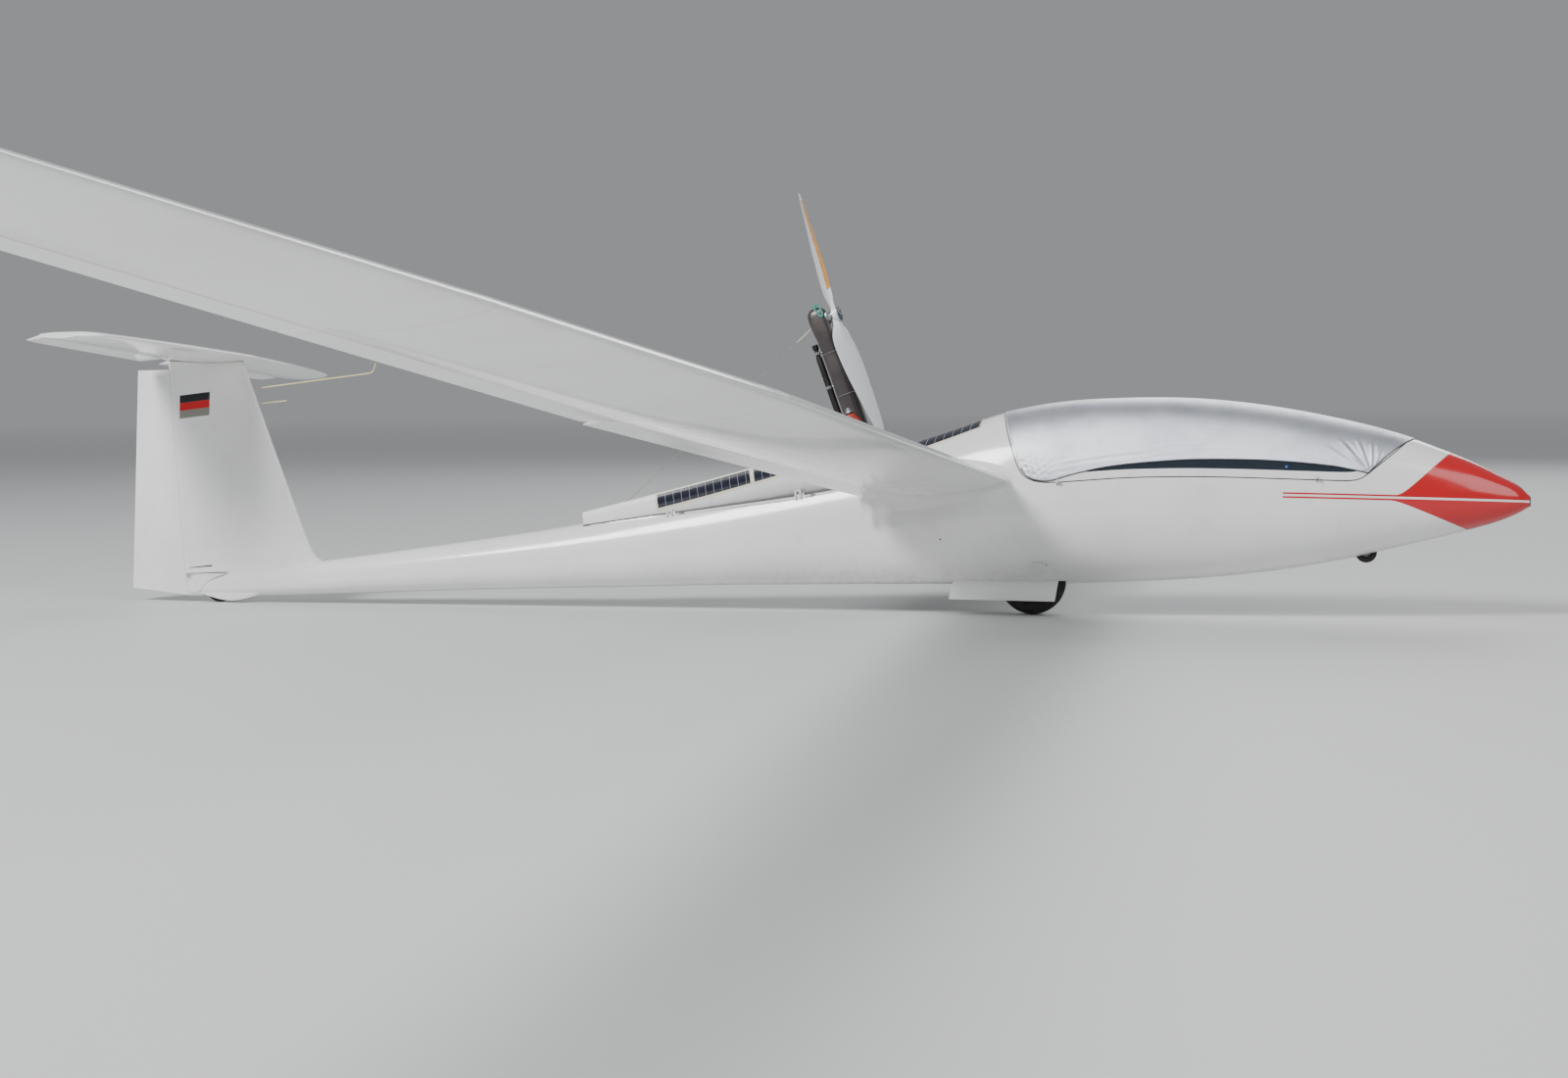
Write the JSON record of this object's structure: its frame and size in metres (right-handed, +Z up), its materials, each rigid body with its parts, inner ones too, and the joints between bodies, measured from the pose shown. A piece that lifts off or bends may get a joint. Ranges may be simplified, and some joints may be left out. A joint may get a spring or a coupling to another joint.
{
  "type": "self-launching two-seat sailplane",
  "caption": "Long-winged two-seat sailplane resting on one wing tip, with a raised folding propeller pylon, open engine doors and a cloth cover over its canopy.",
  "frame": {"origin": "Middle of the bounding box in X and Y, on the ground.", "axes": "+X towards the nose, +Y towards the port wing tip, which touches the ground, +Z up."},
  "size_m": [8.71, 26.2096, 2.529],
  "materials": {
    "gelcoat": "glossy white gelcoat over glass fibre",
    "canopy_glazing": "clear moulded acrylic",
    "cover_cloth": "silver coated woven cloth",
    "carbon": "dark satin paint over the pylon shell",
    "blade_paint": "white painted laminate with amber leading edge",
    "steel": "plated steel",
    "tyre_rubber": "worn black tread rubber",
    "rim_metal": "cast and turned",
    "upholstery": "grey woven cloth",
    "panel": "dark grained",
    "engine_metal": "cast engine case"
  },
  "bodies": {
    "airframe": {"fuselage_pod": "gelcoat", "fuselage_bay": "gelcoat", "tailplane": "gelcoat", "tail_boom_and_fin": "gelcoat", "wing_inner_port": "gelcoat", "wing_middle_port": "gelcoat", "wing_outer_port": "gelcoat", "wing_tip_port": "gelcoat", "wing_inner_starboard": "gelcoat", "wing_middle_starboard": "gelcoat", "wing_outer_starboard": "gelcoat", "wing_tip_starboard": "gelcoat", "seat_front": "upholstery", "seat_rear": "upholstery", "instrument_panel_front": "panel", "instrument_panel_rear": "panel", "control_stick_front": "panel", "control_stick_rear": "panel", "engine_block": "engine_metal", "pylon_bearer": "steel", "main_gear_fork": "steel", "nose_wheel_fork": "steel", "tail_wheel_fork": "steel", "gear_door_port": "gelcoat", "gear_door_starboard": "gelcoat", "probe_total_energy": "steel", "probe_pitot": "steel"},
    "canopy": {"canopy_frame": "gelcoat", "canopy_glass": "canopy_glazing", "canopy_cover": "cover_cloth"},
    "engine_door_port": {"engine_door_port": "gelcoat"},
    "engine_door_starboard": {"engine_door_starboard": "gelcoat"},
    "pylon": {"pylon_housing": "carbon", "pylon_exhaust_pipe": "carbon"},
    "propeller": {"propeller_hub": "steel", "propeller_blades": "blade_paint"},
    "rudder": {"rudder": "gelcoat"},
    "elevator": {"elevator": "gelcoat"},
    "flap_port": {"flap_port": "gelcoat"},
    "aileron_inner_port": {"aileron_inner_port": "gelcoat"},
    "aileron_outer_port": {"aileron_outer_port": "gelcoat"},
    "flap_starboard": {"flap_starboard": "gelcoat"},
    "aileron_inner_starboard": {"aileron_inner_starboard": "gelcoat"},
    "aileron_outer_starboard": {"aileron_outer_starboard": "gelcoat"},
    "main_wheel": {"main_wheel_tyre": "tyre_rubber", "main_wheel_rim": "rim_metal"},
    "nose_wheel": {"nose_wheel_tyre": "tyre_rubber", "nose_wheel_rim": "rim_metal"},
    "tail_wheel": {"tail_wheel_tyre": "tyre_rubber", "tail_wheel_rim": "rim_metal"}
  },
  "joints": [
    {"name": "canopy_hinge", "type": "hinge", "parent": "airframe", "child": "canopy", "pos_m": [1.735, -0.39356, 0.79612], "axis": [0.9995, 0.026, 0.0157], "range_deg": [0, 85]},
    {"name": "engine_door_port_hinge", "type": "hinge", "parent": "airframe", "child": "engine_door_port", "pos_m": [-1.25, 0.02954, 0.49816], "axis": [0.9861, 0.0857, 0.1423], "range_deg": [0, 65]},
    {"name": "engine_door_starboard_hinge", "type": "hinge", "parent": "airframe", "child": "engine_door_starboard", "pos_m": [0.735, -0.26132, 0.82338], "axis": [-0.9861, 0.0608, -0.1546], "range_deg": [0, 65]},
    {"name": "pylon_fold", "type": "hinge", "parent": "airframe", "child": "pylon", "pos_m": [0.601, -0.03341, 0.75891], "axis": [0, -0.9965, 0.0835], "range_deg": [0, 83.6]},
    {"name": "propeller_spin", "type": "hinge", "parent": "pylon", "child": "propeller", "pos_m": [0.31924, 0.05265, 1.7859], "axis": [0.9367, 0.0292, 0.349], "continuous": true},
    {"name": "rudder_hinge", "type": "hinge", "parent": "airframe", "child": "rudder", "pos_m": [-3.957, -0.09336, 0.04342], "axis": [-0.1083, 0.083, 0.9906], "range_deg": [-30, 30]},
    {"name": "elevator_hinge", "type": "hinge", "parent": "airframe", "child": "elevator", "pos_m": [-4.12, 0.0344, 1.56808], "axis": [0, 0.9965, -0.0835], "range_deg": [-10, 34]},
    {"name": "flap_port_hinge", "type": "hinge", "parent": "airframe", "child": "flap_port", "pos_m": [0.70771, 0.36176, 0.68456], "axis": [0.0029, 0.9984, -0.0565], "range_deg": [-16, 12]},
    {"name": "aileron_inner_port_hinge", "type": "hinge", "parent": "airframe", "child": "aileron_inner_port", "pos_m": [0.72214, 5.25172, 0.40766], "axis": [0.0179, 0.9983, -0.0549], "range_deg": [-15, 25]},
    {"name": "aileron_outer_port_hinge", "type": "hinge", "parent": "airframe", "child": "aileron_outer_port", "pos_m": [0.77404, 8.15853, 0.24783], "axis": [0.0017, 0.9987, -0.0515], "range_deg": [-15, 25]},
    {"name": "flap_starboard_hinge", "type": "hinge", "parent": "airframe", "child": "flap_starboard", "pos_m": [0.722, -5.2834, 1.28991], "axis": [-0.0029, 0.9939, -0.1104], "range_deg": [-16, 12]},
    {"name": "aileron_inner_starboard_hinge", "type": "hinge", "parent": "airframe", "child": "aileron_inner_starboard", "pos_m": [0.77378, -8.17627, 1.61603], "axis": [-0.0179, 0.9935, -0.112], "range_deg": [-15, 25]},
    {"name": "aileron_outer_starboard_hinge", "type": "hinge", "parent": "airframe", "child": "aileron_outer_starboard", "pos_m": [0.78118, -12.25692, 2.09031], "axis": [-0.0017, 0.9933, -0.1155], "range_deg": [-15, 25]},
    {"name": "main_wheel_spin", "type": "hinge", "parent": "airframe", "child": "main_wheel", "pos_m": [1.535, -0.08059, 0.19588], "axis": [0, 0.9965, -0.0835], "continuous": true},
    {"name": "nose_wheel_spin", "type": "hinge", "parent": "airframe", "child": "nose_wheel", "pos_m": [3.454, -0.0648, 0.38422], "axis": [0, 0.9965, -0.0835], "continuous": true},
    {"name": "tail_wheel_spin", "type": "hinge", "parent": "airframe", "child": "tail_wheel", "pos_m": [-3.735, -0.0886, 0.10022], "axis": [0, 0.9965, -0.0835], "continuous": true}
  ]
}
